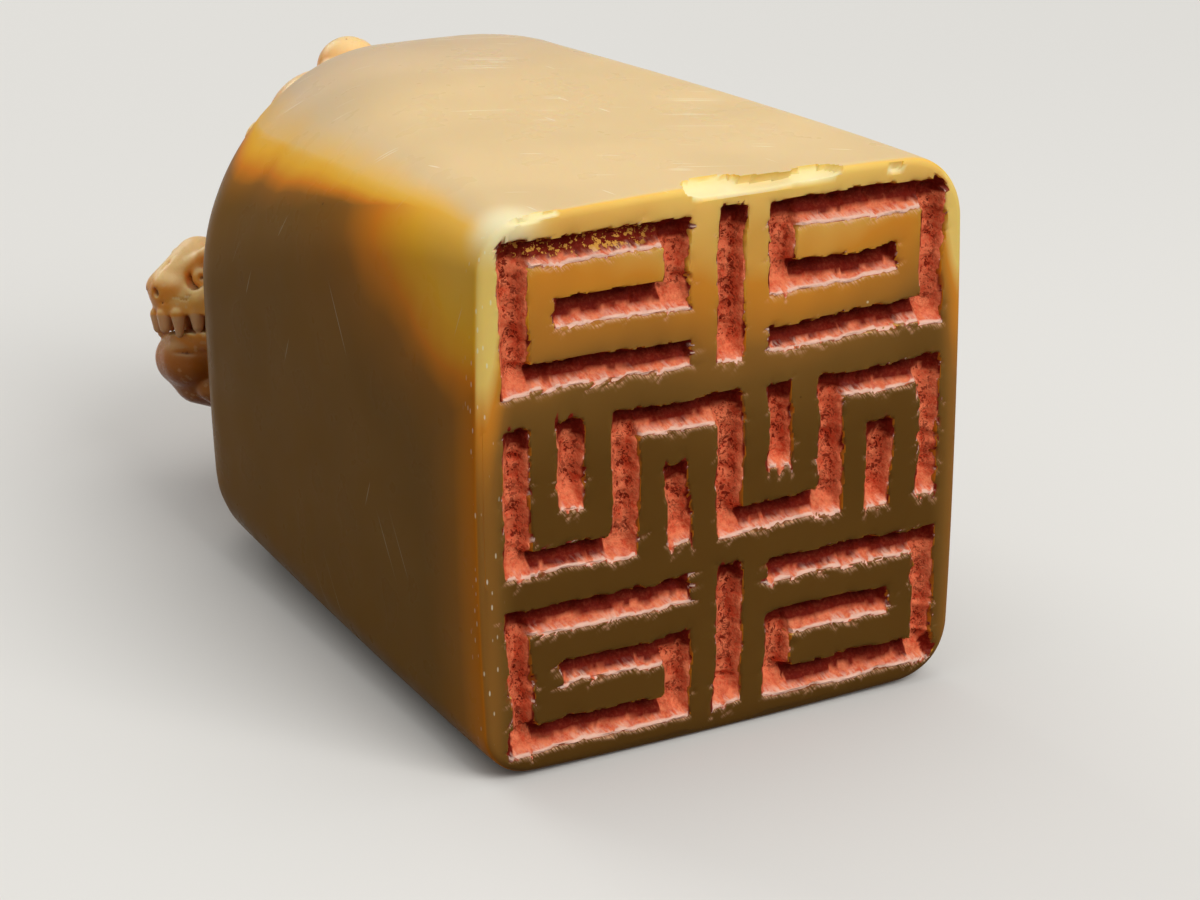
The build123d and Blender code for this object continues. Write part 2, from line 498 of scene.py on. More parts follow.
def hairlines(where, across):
    """Fine lines that run down the seal face at a slant; across says how close they lie."""
    inputs = {"Vector": where, "Angle": math.radians(35)}
    along = wire("VectorRotate", inputs, rotation_type="Y_AXIS").outputs[0]
    drawn = reckon_places("MULTIPLY", along, (across, 1, 1))[0]
    return rise(cloud(drawn, 0.9, 3.0, 0.7), 0.4, 0.62)


def new_finish(name):
    """An empty finish, its nodes and its shader, then the place on the piece in millimetres, the parts of
    that place, and the parts of the direction that the surface faces."""
    finish = bpy.data.materials.new(name)
    finish.use_nodes = True
    tree = finish.node_tree
    shader = tree.nodes["Principled BSDF"]
    spot = add_node(tree, "TexCoord")
    where = reckon_places("MULTIPLY", spot.outputs["Object"], (1000, 1000, 1000))[0]
    parts = wire("SeparateXYZ", {0: where}).outputs
    facing = wire("SeparateXYZ", {0: spot.outputs["Normal"]}).outputs
    return finish, tree, shader, where, parts, facing


def mark_of(tree, name):
    """The number that the mesh carries at each place under a mark's name."""
    return add_node(tree, "Attribute", attribute_name=name).outputs["Fac"]


def relief(height, strength, depth):
    """Fine relief from a height; the depth in metres is that of a height of 1."""
    inputs = {"Height": height, "Strength": strength, "Distance": depth}
    return wire("Bump", inputs).outputs["Normal"]


def glow_ramp(share, stops):
    """The stone's colour with a painted glow, by a share for how much light comes through, thick middle to
    thin edges.
    """
    ramp = wire("ValToRGB", {0: share})
    band = ramp.color_ramp
    band.elements[0].position, band.elements[0].color = stops[0]
    band.elements[1].position, band.elements[1].color = stops[-1]
    for position, colour in stops[1:-1]:
        band.elements.new(position).color = colour
    return ramp.outputs[0]


# Finish of the block: amber stone that lets light in. It is deep brown where it is thick, has a painted
# orange glow for the light that comes through below the upper edges and near the face, and has a pale bloom,
# largely painted sheen, with fine scratches on its upper side. A painted highlight sits at the upper left
# corner of the face
stone, tree, shader, where, (x, y, z), (facing_x, facing_y, facing_z) = new_finish("waxed_soapstone")
slow = cloud(where, 0.07, 3.0, 0.55)
small = cloud(where, 0.35, 3.0, 0.5)
sway = reckon("MULTIPLY", reckon("SUBTRACT", slow, 0.5), 9.0)
height = reckon("ADD", z, sway)
level = reckon("ADD", facing_z, reckon("MULTIPLY", sway, 0.03))
from_face = reckon("SUBTRACT", y, face_y)
# Painted glow: the orange and gold in both ramps stand for light coming through the stone on upward-facing
# sides, below the upper edges, near the face and at the thin side edges of the face; the brown is the
# stone's own colour
near_face_glow = reckon("MULTIPLY", rise(from_face, 26.0, 1.0), rise(height, 16.0, 28.5))
side_painted_glow = reckon("MAXIMUM", rise(level, 0.4, 0.76), near_face_glow)
side_painted_glow = reckon("MAXIMUM", side_painted_glow, rise(from_face, 7.0, 0.2, 0.0, 0.44))
face_height = rise(height, 14.0, 31.0)
left_edge_glow = rise(x, -12.4, -14.0, 0.0, 0.5)
right_edge_glow = rise(x, 12.6, 14.2, 0.0, 0.42)
face_painted_glow = reckon("ADD", face_height, reckon("ADD", left_edge_glow, right_edge_glow))
on_face = rise(facing_y, -0.45, -0.8)
face_colour = glow_ramp(face_painted_glow, (
    (0.0, shade(104, 71, 28)),
    (0.3, shade(128, 90, 40)),
    (0.5, shade(152, 104, 46)),
    (0.8, shade(222, 142, 48)),
    (1.0, shade(255, 210, 114)),
))
side_colour = glow_ramp(side_painted_glow, (
    (0.0, shade(129, 89, 31)),
    (0.3, shade(158, 102, 32)),
    (0.55, shade(232, 136, 30)),
    (0.8, shade(255, 184, 48)),
    (1.0, shade(255, 194, 76)),
))
colour = blend(on_face, side_colour, face_colour)
# Upward-facing sides are paler: partly a paler tone of the stone's own, largely a painted sheen
pale_tone_and_sheen = blend(rise(from_face, 22.0, 42.0), shade(228, 196, 144), shade(207, 180, 146))
sheen_level = reckon("ADD", level, rise(from_face, 14.0, 36.0, 0.0, 0.06))
colour = blend(rise(sheen_level, 0.7, 0.93), colour, pale_tone_and_sheen)
# A painted highlight at the upper left corner of the face
corner_gap = reckon_places("DISTANCE", where, (-12.9, face_y + 0.5, 30.2))["Value"]
corner_painted_highlight = rise(corner_gap, 3.0, 0.4, 0.0, 0.9)
colour = blend(corner_painted_highlight, colour, shade(255, 238, 190))
mottle = rise(cloud(where, 0.13, 1.0), 0.3, 0.7, 0.95, 1.02)
tint = wire("CombineColor", {0: mottle, 1: mottle, 2: mottle}).outputs[0]
colour = blend(1.0, colour, tint, "MULTIPLY")
scratched = scratches(x, y, ((26, 4.5, 0.11, 0.05), (33, 1.6, 0.09, 0.04), (84, 1.4, 0.1, 0.012)))
scratched = reckon("MULTIPLY", scratched, rise(facing_z, 0.6, 0.9))
crossed = scratches(y, z, ((-58, 5.0, 0.07, 0.012), (64, 2.2, 0.07, 0.01)))
crossed = reckon("MULTIPLY", crossed, rise(facing_x, -0.6, -0.9, 0.0, 0.4))
scratched = reckon("MAXIMUM", scratched, crossed)
fading = rise(cloud(where, 0.25, 2.0), 0.35, 0.65, 0.2, 0.8)
colour = paint(colour, scratched, fading, shade(255, 244, 216))
pale_specks = specks(where, 0.6, 0.07, 0.04)
upright = reckon_places("MULTIPLY", where, (1.0, 1.0, 0.3))[0]
near_left_edge = reckon("MULTIPLY", rise(from_face, 1.8, 0.6), rise(x, -13.0, -13.8))
edge_specks = reckon("MULTIPLY", specks(upright, 4.5, 0.25, 0.3), near_left_edge)
pale_specks = reckon("MAXIMUM", pale_specks, edge_specks)
colour = paint(colour, pale_specks, 0.6, shade(255, 244, 212))
colour = paint(colour, specks(where, 0.45, 0.05, 0.12), 0.6, shade(60, 38, 16))
chip_mark = mark_of(tree, "chip")
colour = paint(colour, chip_mark, 0.9, shade(255, 236, 178))
scraped = reckon("MULTIPLY", mark_of(tree, "scrape"), hairlines(where, 12))
colour = paint(colour, scraped, 0.85, shade(255, 190, 148))
colour = paint(colour, mark_of(tree, "groove"), 0.75, shade(150, 60, 40))
wax = rise(small, 0.3, 0.7, 0.26, 0.36)
unwaxed = reckon("MULTIPLY", reckon("MAXIMUM", chip_mark, scraped), 0.3)
set_inputs(shader, {
    "Base Color": colour,
    "Roughness": reckon("ADD", wax, unwaxed),
    "Normal": relief(cloud(where, 0.15, 1.0), 0.3, 0.0001),
    "Subsurface Weight": 0.3,
    "Subsurface Radius": (1.0, 0.42, 0.12),
    "Subsurface Scale": 0.0028,
    "Specular IOR Level": 0.008,
    "Specular Tint": (1.0, 0.72, 0.4, 1.0),
    "IOR": 1.55,
})
block.data.materials.append(stone)
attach(block, "root")
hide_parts("stone_block")

# The seal paste: dried red cinnabar paste that was pressed into the grooves and never brushed out. It is a
# thin, pitted skin on their floors and walls, rubbed pale at the lower lips, and darkened by painted shadow
# under the upper lips and deep in the grooves. In the groove nearest the upper left corner, crumbs of bare
# stone show through it
paste_thickness = 0.13
skin_under = 0.05
band_tops = (lowest_stroke_z + 2.5 * pitch_z, lowest_stroke_z + 5.5 * pitch_z)
cover = inside - 0.02 - 0.10 * np.maximum(grain(face_places, 0.5, 23), 0)
bare_x = (face_places[:, 0] + 8.5) / 4.5
bare_z = (face_places[:, 2] - 28.4) / 1.2
bare_corner = np.exp(-(bare_x**2) - bare_z**2)
skin_height = paste_thickness * (1 + 0.7 * grain(face_places, 0.55, 24))
skin_height += 0.05 * grain(face_places, 0.24, 25)
skin_height = np.maximum(skin_height, 0.03) * ease(cover, 0.0, 0.12) + 0.012
skin_height = np.where(cover > 0, skin_height, -0.03)
cell_cover = cover.reshape(rows, columns)
covered = np.maximum(
    np.maximum(cell_cover[:-1, :-1], cell_cover[:-1, 1:]),
    np.maximum(cell_cover[1:, 1:], cell_cover[1:, :-1]),
) > 0
paste_names = ("lower_band_paste", "middle_band_paste", "upper_band_paste")
cell_z = face_places[:, 2].reshape(rows, columns)[:-1, :-1]
cell_band = np.digitize(cell_z, band_tops)
paste_marks = {
    "lip": ease(from_below, 0.55, 0.12) * on_slope,
    "upper": under_lip,
    "pit": pits_and_groove_shadow,
    "bare": bare_corner * under_lip,
}


def paste_skin(name, chosen):
    """The skin of paste over the chosen cells of the face: an outer side, an inner side and their edge."""
    quads = face_quads[chosen.ravel()]
    used, packed = np.unique(quads, return_inverse=True)
    packed = packed.reshape(-1, 4)
    outer = face_places[used]
    inner = face_places[used]
    outer[:, 1] = np.maximum(outer[:, 1] - skin_height[used], face_y + 0.01)
    inner[:, 1] += skin_under
    count = len(used)
    sides = np.concatenate([packed[:, [i, (i + 1) % 4]] for i in range(4)])
    key = sides[:, 0] * count + sides[:, 1]
    opposite = sides[:, 1] * count + sides[:, 0]
    open_sides = sides[~np.isin(key, opposite)]
    faces = packed.tolist() + (packed + count)[:, ::-1].tolist()
    faces += [(b, a, a + count, b + count) for a, b in open_sides.tolist()]
    marks = {mark: np.tile(values[used], 2) for mark, values in paste_marks.items()}
    return make_piece(name, np.concatenate([outer, inner]), faces, sharp_angle=50, **marks)


paste, tree, shader, where, *_ = new_finish("dried_cinnabar_paste")
lumps = cloud(where, 1.6, 4.0, 0.65)
fine = cloud(where, 5.5, 3.0, 0.6)
colour = blend(rise(lumps, 0.32, 0.68), shade(214, 82, 50), shade(248, 134, 92))
colour = blend(rise(fine, 0.35, 0.7, 0.0, 0.45), colour, shade(252, 150, 102))
pulled = wire("TexNoise", {"Vector": where, "Scale": 3.5, "Detail": 2.0}).outputs["Color"]
torn = reckon_places("MULTIPLY_ADD", pulled, (0.9, 0.9, 0.9), where)[0]
dots = reckon("MAXIMUM", specks(torn, 2.6, 0.48, 0.7), specks(torn, 4.6, 0.5, 0.5))
pitted = rise(reckon("ADD", dots, reckon("MULTIPLY", fine, 1.2)), 0.55, 1.35, 0.1, 0.9)
pitted = reckon("MULTIPLY", mark_of(tree, "pit"), pitted)
shadowed = reckon("MULTIPLY", mark_of(tree, "upper"), rise(fine, 0.25, 0.6, 0.88, 1.0))
# Painted shadow under the upper lips and deep in the grooves, over the paste's own dark pits
dark = reckon("MAXIMUM", pitted, shadowed)
colour = paint(colour, dark, 0.97, shade(106, 12, 4))
crumbs = rise(cloud(where, 2.6, 3.0, 0.7), 0.52, 0.58)
crumbs = reckon("MULTIPLY", crumbs, mark_of(tree, "bare"))
colour = blend(rise(crumbs, 0.3, 0.6), colour, shade(222, 160, 70))
lip_mark = mark_of(tree, "lip")
lip = reckon("MULTIPLY", lip_mark, hairlines(where, 5))
lip = reckon("MULTIPLY", lip, rise(cloud(where, 0.5, 2.0), 0.38, 0.58, 0.2, 0.8))
lip = reckon("MAXIMUM", lip, rise(lip_mark, 0.7, 0.97, 0.0, 0.8))
colour = paint(colour, lip, 0.9, shade(255, 222, 200))
crumbled = reckon("ADD", lumps, reckon("MULTIPLY", fine, 0.5))
set_inputs(shader, {
    "Base Color": colour,
    "Roughness": rise(lumps, 0.3, 0.7, 0.42, 0.72),
    "Normal": relief(crumbled, 0.6, 0.00018),
    "Specular IOR Level": 0.04,
})
for band, name in enumerate(paste_names):
    skin = paste_skin(name.replace("paste", "paste_skin"), covered & (cell_band == band))
    skin.data.materials.append(paste)
    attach(skin, "root")
    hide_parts(name)

# The beast: the handle of the seal, a crouching guardian beast carved from the same stone as the block.
# It is roughed out as round forms that flow into each other, then the mane, face, toes and ribs are cut in.
# Places are across, above the block's end, and up from the middle of the block, in millimetres. The clay
# says how far each point of a grid lies outside the carving, and is negative inside it
clay_step = 0.125
clay_low = np.array([-14.4, block_end_y - 1.6, mid_z - 14.4])
clay_high = np.array([11.6, block_end_y + 10.8, mid_z + 14.2])
clay_count = np.ceil((clay_high - clay_low) / clay_step).astype(int) + 1
clay_x, clay_y, clay_z = (clay_low[i] + clay_step * np.arange(clay_count[i]) for i in range(3))
clay = np.full(clay_count, 2.0, np.float32)
beast_middle = np.array([0, block_end_y, mid_z])


def window(lowest, highest):
    """The part of the clay between two corners, and the places of its points."""
    first = np.maximum(((lowest - clay_low) / clay_step).astype(int), 0)
    last = np.minimum(((highest - clay_low) / clay_step).astype(int) + 2, clay_count)
    part = tuple(slice(a, b) for a, b in zip(first, last))
    px, py, pz = clay_x[part[0]], clay_y[part[1]], clay_z[part[2]]
    return part, px[:, None, None], py[None, :, None], pz[None, None, :]


def work_clay(start, start_radius, end, end_radius, join, cut=False):
    """Adds a round form between two balls, or cuts it away, with a soft join of the given width."""
    start = np.array(start, float) + beast_middle
    end = np.array(end, float) + beast_middle
    reach = max(start_radius, end_radius) + join + 2 * clay_step
    part, px, py, pz = window(np.minimum(start, end) - reach, np.maximum(start, end) + reach)
    run = end - start
    square = max(run @ run, 1e-9)
    ax, ay, az = px - start[0], py - start[1], pz - start[2]
    share = np.clip((ax * run[0] + ay * run[1] + az * run[2]) / square, 0, 1)
    away = np.sqrt((ax - share * run[0]) ** 2 + (ay - share * run[1]) ** 2 + (az - share * run[2]) ** 2)
    away = away - (start_radius + (end_radius - start_radius) * share)
    old = clay[part]
    if cut:
        soft = np.maximum(join - np.abs(old + away), 0) / join
        clay[part] = np.maximum(old, -away) + soft * soft * join / 4
    else:
        soft = np.maximum(join - np.abs(old - away), 0) / join
        clay[part] = np.minimum(old, away) - soft * soft * join / 4


def cut_line(points, radius, join=0.12):
    """A carved line through the points, finer towards both ends."""
    points = [np.array(p, float) for p in points]
    count = len(points) - 1
    widths = [radius * min(1, 0.35 + 1.6 * min(i, count - i) / count) for i in range(count + 1)]
    for i in range(count):
        work_clay(points[i], widths[i], points[i + 1], widths[i + 1], join, cut=True)


def unit(vector):
    """The same direction with a length of 1."""
    vector = np.array(vector, float)
    return vector / np.linalg.norm(vector)


def curl(middle, outward, radius, turns=1.7, hand=1):
    """A tight snail curl: a round boss with a spiral line cut into it."""
    outward = unit(outward)
    first = unit(np.cross(outward, (0.3, 0.2, 0.93)))
    second = np.cross(outward, first) * hand
    middle = np.array(middle, float)
    work_clay(middle - outward * 0.4 * radius, radius, middle - outward * 0.35 * radius, radius, 0.25)
    boss = middle - outward * 0.38 * radius
    points = []
    for i in range(int(turns * 12) + 1):
        angle = 2 * math.pi * i / 12
        out = radius * (0.16 + 0.72 * i / (turns * 12))
        lift = math.sqrt(max(radius**2 - out**2, 0))
        points.append(boss + outward * lift + out * (first * math.cos(angle) + second * math.sin(angle)))
    cut_line(points, 0.15 * radius, 0.08)


# Round forms that flow softly into each other: the middle and the radius of one end, then those of the other
body_forms = {
    "barrel": ((1.2, 2.6, 7.5), 5.3, (0.8, 3.0, -5.5), 5.2),
    "left haunch": ((-2.4, 2.3, 8.3), 3.9, (-3.0, 2.0, 5.6), 3.1),
    "right haunch": ((5.8, 1.8, 8.2), 4.0, (6.8, 1.4, 5.4), 3.7),
    "left foreleg": ((-3.2, 2.6, -7.0), 3.5, (-5.2, 1.0, -10.6), 1.9),
    "right foreleg": ((4.8, 2.4, -7.2), 3.5, (4.0, 0.8, -11.4), 1.9),
    "left hind foot": ((-5.6, 0.2, 4.6), 1.95, (-7.2, -0.2, 1.7), 1.7),
    "right hind foot": ((8.4, -0.2, 5.0), 2.1, (9.2, -0.4, 0.6), 1.7),
    "neck": ((0.0, 4.6, -5.2), 4.9, (-4.8, 5.2, -4.4), 4.5),
}
head_forms = {
    "skull": ((-7.2, 5.3, -3.7), 4.6, (-8.4, 5.35, -3.2), 4.3),
    "snout": ((-9.9, 5.5, -1.4), 2.5, (-11.5, 5.5, -2.1), 1.8),
    "cheeks": ((-9.8, 4.2, -2.8), 2.1, (-9.8, 6.6, -3.4), 2.1),
    "upper lip": ((-11.4, 4.9, -2.7), 1.7, (-11.4, 6.1, -3.0), 1.7),
    "back of jaw": ((-8.2, 4.0, -6.1), 2.8, (-8.2, 5.9, -6.5), 2.8),
    "front of jaw": ((-11.5, 4.7, -6.0), 1.85, (-11.5, 5.7, -6.2), 1.85),
    "chin": ((-10.7, 5.2, -7.5), 1.75, (-9.4, 5.2, -8.2), 1.6),
}
for form in body_forms.values():
    work_clay(*form, 0.7)
for form in head_forms.values():
    work_clay(*form, 0.5)

# Tail: a bushy tail laid forward over the rump, in three locks
for start, start_radius, middle, middle_radius, end, end_radius in (
    ((0.3, 4.7, 11.5), 2.05, (1.1, 6.9, 9.9), 1.8, (1.6, 7.7, 7.0), 1.4),
    ((-1.2, 3.4, 10.6), 1.8, (-1.4, 6.2, 9.2), 1.4, (-1.2, 7.4, 6.4), 0.9),
    ((3.4, 3.4, 10.6), 1.8, (3.9, 6.2, 9.2), 1.4, (4.0, 7.2, 6.6), 0.9),
):
    work_clay(start, start_radius, middle, middle_radius, 0.35)
    work_clay(middle, middle_radius, end, end_radius, 0.35)
curl((1.6, 9.0, 7.0), (0, 1, -0.15), 1.3)
curl((-1.3, 8.0, 6.2), (-0.2, 1, -0.2), 0.95, hand=-1)
curl((4.1, 7.9, 6.4), (0.3, 1, -0.2), 0.95)
for shift in (-0.9, 0.0, 0.9):
    cut_line(((1.0 + shift, 4.4, 13.5), (1.2 + shift, 7.4, 11.6), (1.4 + shift, 8.6, 9.2)), 0.2)

# Spine, ribs and the curls on the haunches and shoulders
for i in range(7):
    step = -1.2 + 1.25 * i
    work_clay((1.0, 7.7, step), 0.75, (1.0, 7.9, step + 0.1), 0.7, 0.2)
for i in range(3):
    step = 1.7 + 1.5 * i
    cut_line(((-0.6, 7.5, step), (-2.3, 6.7, step + 0.25), (-3.6, 5.2, step - 0.1)), 0.22)
    cut_line(((2.6, 7.5, step), (4.3, 6.7, step + 0.25), (5.6, 5.2, step - 0.1)), 0.22)
for middle, radius, outward, size in (
    ((-3.2, 2.2, 7.1), 3.85, (-0.62, 0.75, 0.05), 1.9),
    ((6.2, 1.7, 7.2), 3.9, (0.72, 0.68, 0.1), 1.9),
    ((-3.4, 2.4, -7.3), 3.35, (-0.45, 0.62, -0.6), 1.3),
    ((4.8, 2.4, -7.2), 3.5, (0.6, 0.78, -0.1), 1.6),
):
    outward = unit(outward)
    curl(np.array(middle) + outward * (radius - 0.15), outward, size, turns=2.0)

# Feet: four toes each, every toe with a claw
for ankle, way, size in (
    ((-5.2, 1.0, -10.6), (-0.45, -0.30, -0.84), 1.9),
    ((4.0, 0.8, -11.4), (-0.15, -0.30, -0.94), 1.9),
    ((-7.2, -0.2, 1.7), (-0.25, -0.05, -0.97), 1.7),
    ((9.2, -0.4, 0.6), (0.17, -0.05, -0.98), 1.7),
):
    way = unit(way)
    side = unit(np.cross(way, (0, 1, 0)))
    above = np.cross(side, way)
    for shift in (-1.15, -0.4, 0.4, 1.15):
        reach = size * 0.78 - 0.25 * abs(shift)
        knuckle = np.array(ankle) + way * reach + side * shift * 0.95 + above * 0.1
        work_clay(knuckle, 0.62, knuckle + way * 0.35 - above * 0.25, 0.5, 0.15)
        claw = knuckle + way * 0.75 - above * 0.35
        work_clay(claw, 0.3, claw + way * 0.45 - above * 0.3, 0.1, 0.08)
    for shift in (-0.75, 0.0, 0.75):
        root = np.array(ankle) + way * size * 0.2 + side * shift + above * size * 0.9
        tip = np.array(ankle) + way * (size + 0.55) + side * shift + above * 0.15
        cut_line((root, (root + tip) / 2 + above * 0.25, tip), 0.16)

# Head: turned over the left side of the block, crown upwards. Its own directions are ahead, crown and aside
ahead = unit((-0.995, 0.0, 0.08))
crown = np.array([0.0, 0.25, 0.97])
crown = unit(crown - ahead * (crown @ ahead))
aside = np.cross(ahead, crown)
head = np.array([-8.0, 5.35, -3.6])


def on_head(forward, upward, sideways):
    return head + ahead * forward + crown * upward + aside * sideways


# Mouth: cut in from side to side, then set with an arc of teeth, of which two are fangs
for i in range(9):
    shift = (i - 4) * 0.72
    corner = on_head(1.4 - 0.1 * abs(i - 4), -0.5, shift)
    work_clay(corner, 0.55, on_head(6.5, -0.5, shift), 0.62, 0.15, cut=True)
tooth_radius = 0.52
teeth = []
for i in range(8):
    angle = math.radians(-84 + 24 * i)
    tooth_length, tip_radius = (1.3, 0.24) if i in (2, 5) else (0.85, 0.36)
    top = on_head(1.95 + 3.15 * math.cos(angle), 0.2, 2.75 * math.sin(angle))
    tip = top - crown * tooth_length
    work_clay(top, tooth_radius, tip, tip_radius, 0.05)
    teeth.append((top + beast_middle, tip + beast_middle, tip_radius))

# Face: the bridge of the snout, then the forms on each side of it. Each has its two ends, the width of its
# join to the rest, and whether it is cut away. Lines round the mouth and curls behind it follow
work_clay(on_head(2.3, 3.5, 0), 1.5, on_head(4.2, 1.9, 0), 1.45, 0.6)
face_forms = {
    "side of nose": ((4.75, 1.9, 0.6), 0.9, (4.5, 1.85, 1.05), 0.75, 0.25, False),
    "nostril": ((5.5, 1.65, 0.68), 0.3, (5.7, 1.6, 0.78), 0.22, 0.1, True),
    "eye socket": ((3.1, 2.5, 2.25), 0.95, (3.15, 2.45, 2.3), 0.95, 0.3, True),
    "eye": ((2.75, 2.45, 2.1), 0.75, (2.8, 2.45, 2.15), 0.75, 0.05, False),
    "pupil": ((3.2, 2.4, 2.72), 0.2, (3.2, 2.4, 2.82), 0.2, 0.08, True),
    "inner brow": ((3.6, 2.9, 0.9), 0.55, (2.5, 3.7, 2.4), 0.62, 0.3, False),
    "outer brow": ((2.5, 3.7, 2.4), 0.62, (0.8, 3.5, 3.6), 0.45, 0.3, False),
    "cheek bone": ((2.2, 1.4, 3.0), 0.9, (3.2, 0.95, 2.5), 0.7, 0.3, False),
    "jaw muscle": ((1.0, 0.4, 3.9), 0.75, (0.4, -1.6, 3.9), 0.8, 0.25, False),
}
for sideways in (-1, 1):
    for start, start_radius, end, end_radius, join, cut in face_forms.values():
        start = on_head(start[0], start[1], start[2] * sideways)
        end = on_head(end[0], end[1], end[2] * sideways)
        work_clay(start, start_radius, end, end_radius, join, cut)
    lip_line = [(5.3 - 0.7 * i, 0.95 + 0.1 * i * (3 - i), (0.9 + 0.62 * i) * sideways) for i in range(5)]
    cut_line([on_head(*place) for place in lip_line], 0.15)
    cut_line([on_head(5.0 - 0.5 * i, 3.0 + 0.5 * i, 0.45 * sideways) for i in range(3)], 0.12)
    cut_line([on_head(4.9 - 0.8 * i, -2.2 - 0.1 * i, (0.9 + 0.6 * i) * sideways) for i in range(5)], 0.16)
    curl(on_head(-0.6, -1.0, 4.35 * sideways), aside * sideways + ahead * 0.3, 1.15, hand=sideways)
    curl(on_head(-0.2, 1.3, 4.3 * sideways), aside * sideways + ahead * 0.3, 1.1, hand=-sideways)
    curl(on_head(0.5, -3.1, 3.6 * sideways), aside * sideways - crown * 0.4, 1.05, hand=sideways)

# Ears, hollowed on the side that looks ahead
for root, tip in (((-6.2, 3.0, 0.3), (-5.3, 2.2, 2.3)), ((-5.7, 8.7, -1.3), (-4.1, 9.5, 0.7))):
    root = np.array(root)
    tip = np.array(tip)
    way = unit(tip - root)
    work_clay(root - way * 0.6, 1.2, tip, 0.45, 0.25)
    hollow = unit(np.cross(way, (0.3, 0.9, 0.2)))
    if hollow @ ahead < 0:
        hollow = -hollow
    work_clay(root + hollow * 1.0, 0.5, tip - way * 0.5 + hollow * 0.5, 0.2, 0.15, cut=True)

# Mane: three rows of curls over the neck
mane_middle = np.array([-6.2, 5.2, -3.9])
for back, out, size, count, first, last in (
    (0.0, 4.25, 1.15, 9, -70, 165),
    (2.1, 4.35, 1.2, 8, -58, 140),
    (4.3, 4.45, 1.2, 7, -45, 118),
):
    for i in range(count):
        angle = math.radians(first + (last - first) * i / (count - 1))
        outward = crown * math.cos(angle) + aside * math.sin(angle)
        place = mane_middle - ahead * back + outward * out - np.array([0, 0.1 * back, 0.12 * back])
        place[1] = min(place[1], 10.3 - size * 0.62)
        curl(place, outward + ahead * 0.25, size, hand=1 if i % 2 else -1)

# Beard: three locks under the chin
for shift in (-1.5, 0.0, 1.5):
    root = np.array([-10.6, 5.0 + shift, -7.7])
    tip = np.array([-8.4, 4.6 + 1.2 * shift, -10.0 + 0.1 * abs(shift)])
    work_clay(root, 0.95, tip, 0.5, 0.15)
    middle = (root + tip) / 2
    cut_line((root + (-0.5, 0.3, -0.9), middle + (-0.5, 0.3, -0.8), tip + (-0.1, 0.3, -0.5)), 0.15)

# The beast sits on the shoulders: what would lie deeper in the block than a thin overlap is left out
seat_overlap = 0.3
knob_top = 10.45
seat_y = clay_y - face_y - straight_length
turned = np.arcsin(np.clip(seat_y / shoulder_length, 0, 1))
seat_half_x = corner_half_width - shoulder_inset_x * (1 - np.cos(turned))
seat_half_z = corner_half_height - shoulder_inset_z * (1 - np.cos(turned))
seat_x, seat_up = np.meshgrid(clay_x, clay_z - mid_z, indexing="ij")
for j in range(len(clay_y)):
    if clay_y[j] > block_end_y + 0.5:
        break
    left_radius = np.where(seat_up > 0, upper_left_radii[1], lower_left_radii[1])
    right_radius = np.where(seat_up > 0, upper_right_radii[1], lower_right_radii[1])
    radius = np.where(seat_x < 0, left_radius, right_radius)
    radius = np.minimum(radius, radius_limit_share * seat_half_x[j])
    qx = np.abs(seat_x) - seat_half_x[j] + radius
    qz = np.abs(seat_up) - seat_half_z[j] + radius
    side = np.minimum(np.maximum(qx, qz), 0) + np.hypot(np.maximum(qx, 0), np.maximum(qz, 0)) - radius
    deep = np.maximum(side, clay_y[j] - block_end_y) + seat_overlap
    clay[:, j, :] = np.maximum(clay[:, j, :], -deep)
clay = np.maximum(clay, (clay_y - block_end_y - knob_top)[None, :, None])


def skin_of(field, step, lowest):
    """The closed skin round a solid field: one vertex in each cell that the surface crosses."""
    solid = field < 0
    shape = np.array(field.shape)
    held = np.zeros(shape - 1, np.uint8)
    for i in range(8):
        a, b, c = i & 1, i >> 1 & 1, i >> 2 & 1
        held += solid[a : shape[0] - 1 + a, b : shape[1] - 1 + b, c : shape[2] - 1 + c]
    crossed = (held > 0) & (held < 8)
    numbers = np.full(crossed.shape, -1)
    cells = np.argwhere(crossed)
    numbers[crossed] = np.arange(len(cells))
    total = np.zeros((len(cells), 3))
    count = np.zeros(len(cells))
    for axis in range(3):
        for i in range(4):
            near = np.roll((0, i & 1, i >> 1), axis)
            far = np.roll((1, i & 1, i >> 1), axis)
            near_value = field[tuple((cells + near).T)]
            far_value = field[tuple((cells + far).T)]
            crossing = (near_value < 0) != (far_value < 0)
            share = np.where(crossing, near_value / np.where(crossing, near_value - far_value, 1), 0)
            place = near + share[:, None] * (far - near)
            total += place * crossing[:, None]
            count += crossing
    places = lowest + step * (cells + total / count[:, None])
    faces = []
    for axis in range(3):
        near_part = [slice(1, n - 1) for n in shape]
        far_part = list(near_part)
        near_part[axis] = slice(0, shape[axis] - 1)
        far_part[axis] = slice(1, shape[axis])
        near_solid = solid[tuple(near_part)]
        change = near_solid != solid[tuple(far_part)]
        start = np.argwhere(change) + np.roll((0, 1, 1), axis)
        around = []
        for turn in ((0, -1, -1), (0, 0, -1), (0, 0, 0), (0, -1, 0)):
            around.append(numbers[tuple((start + np.roll(turn, axis)).T)])
        quads = np.stack(around, axis=1)
        outward = near_solid[change]
        quads[~outward] = quads[~outward][:, ::-1]
        faces.append(quads)
    return places, np.concatenate(faces)


beast_places, beast_quads = skin_of(clay, clay_step, clay_low)
tooth = np.zeros(len(beast_places))
for top, tip, tip_radius in teeth:
    run = tip - top
    share = np.clip((beast_places - top) @ run / (run @ run), 0.3, 1)
    away = np.linalg.norm(beast_places - top - share[:, None] * run, axis=1)
    away = away - tooth_radius - (tip_radius - tooth_radius) * share
    tooth = np.maximum(tooth, ease(away, 0.14, 0.05))
# The lower jaw is painted darker: partly a darker tone of the stone, partly painted shadow under the head
jaw_tone_and_shadow = ease(beast_places[:, 0], -7.0, -8.5) * ease(beast_places[:, 2] - mid_z, -4.0, -5.4)
beast = make_piece("carved_beast", beast_places, beast_quads.tolist(), tooth=tooth, jaw=jaw_tone_and_shadow)
